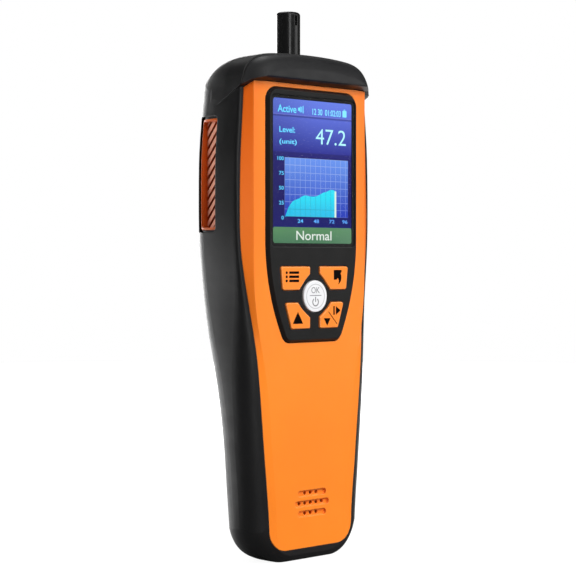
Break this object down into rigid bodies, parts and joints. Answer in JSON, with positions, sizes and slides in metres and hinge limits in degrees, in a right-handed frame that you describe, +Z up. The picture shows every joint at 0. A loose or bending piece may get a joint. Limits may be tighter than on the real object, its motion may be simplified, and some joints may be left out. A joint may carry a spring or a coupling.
{
  "type": "air quality monitor",
  "caption": "Handheld air quality monitor with a colour display, a key pad under it, side air vents, a top inlet tube and a tapered grip it stands on.",
  "frame": {"origin": "centre of the overall footprint box, at the height of the flat foot", "axes": "+Z up along the body to the inlet tube, display faces -Y, +X to the right of a person looking at the display"},
  "size_m": [0.0746, 0.0382, 0.2232],
  "materials": {
    "shell_black": "satin",
    "cover_orange": "satin",
    "cap_black": "satin",
    "panel_black": "gloss",
    "window_clear": "gloss",
    "display_blue": "gloss",
    "key_orange": "satin",
    "key_white": "satin",
    "louvre_orange": "satin",
    "mesh_dark": "matte",
    "tube_black": "satin",
    "rubber_black": "matte",
    "silicone_grey": "matte",
    "hose_clear": "satin",
    "board_green": "satin",
    "switch_metal": "satin",
    "screw_steel": "brushed",
    "ribbon_amber": "satin",
    "sensor_blue": "satin",
    "sensor_lid_metal": "satin",
    "fan_black": "matte",
    "gas_sensor_gold": "satin",
    "battery_wrap": "gloss",
    "foam_grey": "matte",
    "lead_red": "satin",
    "speaker_black": "satin",
    "socket_steel": "satin"
  },
  "bodies": {
    "housing": {"rear_shell": "shell_black", "front_cover": "cover_orange", "top_cap": "cap_black", "bezel_panel": "panel_black", "screen_window": "window_clear", "lcd_module": "display_blue", "left_vent_grille": "louvre_orange", "right_vent_grille": "louvre_orange", "left_vent_mesh": "mesh_dark", "right_vent_mesh": "mesh_dark", "inlet_tube": "tube_black", "inlet_seal": "rubber_black", "inlet_hose": "hose_clear", "sensor_case": "sensor_blue", "sensor_lid": "sensor_lid_metal", "fan_shaft": "screw_steel", "co2_sensor": "gas_sensor_gold", "battery_pack": "battery_wrap", "battery_pad": "foam_grey", "battery_lead": "lead_red", "speaker": "speaker_black", "speaker_gasket": "foam_grey", "charge_socket": "socket_steel", "charge_board": "board_green", "housing_screws": "screw_steel", "board_screws": "screw_steel", "main_board": "board_green", "key_switches": "switch_metal", "keypad_mat": "silicone_grey", "display_ribbon": "ribbon_amber"},
    "menu_key_cap": {"menu_key": "key_orange"},
    "back_key_cap": {"back_key": "key_orange"},
    "up_key_cap": {"up_key": "key_orange"},
    "down_key_cap": {"down_key": "key_orange"},
    "ok_key_cap": {"ok_key": "key_white"},
    "fan": {"fan_rotor": "fan_black"}
  },
  "joints": [
    {"name": "menu_press", "type": "slide", "parent": "housing", "child": "menu_key_cap", "axis": [0, 1, 0], "range_m": [0, 0.0006], "stiffness_N_per_m": 400, "springref_m": -0.0005},
    {"name": "back_press", "type": "slide", "parent": "housing", "child": "back_key_cap", "axis": [0, 1, 0], "range_m": [0, 0.0006], "stiffness_N_per_m": 400, "springref_m": -0.0005},
    {"name": "up_press", "type": "slide", "parent": "housing", "child": "up_key_cap", "axis": [0, 1, 0], "range_m": [0, 0.0006], "stiffness_N_per_m": 400, "springref_m": -0.0005},
    {"name": "down_press", "type": "slide", "parent": "housing", "child": "down_key_cap", "axis": [0, 1, 0], "range_m": [0, 0.0006], "stiffness_N_per_m": 400, "springref_m": -0.0005},
    {"name": "ok_press", "type": "slide", "parent": "housing", "child": "ok_key_cap", "axis": [0, 1, 0], "range_m": [0, 0.0006], "stiffness_N_per_m": 400, "springref_m": -0.0005},
    {"name": "fan_spin", "type": "hinge", "parent": "housing", "child": "fan", "pos_m": [-0.0115, 0.00415, 0.153], "axis": [0, 1, 0], "continuous": true}
  ]
}
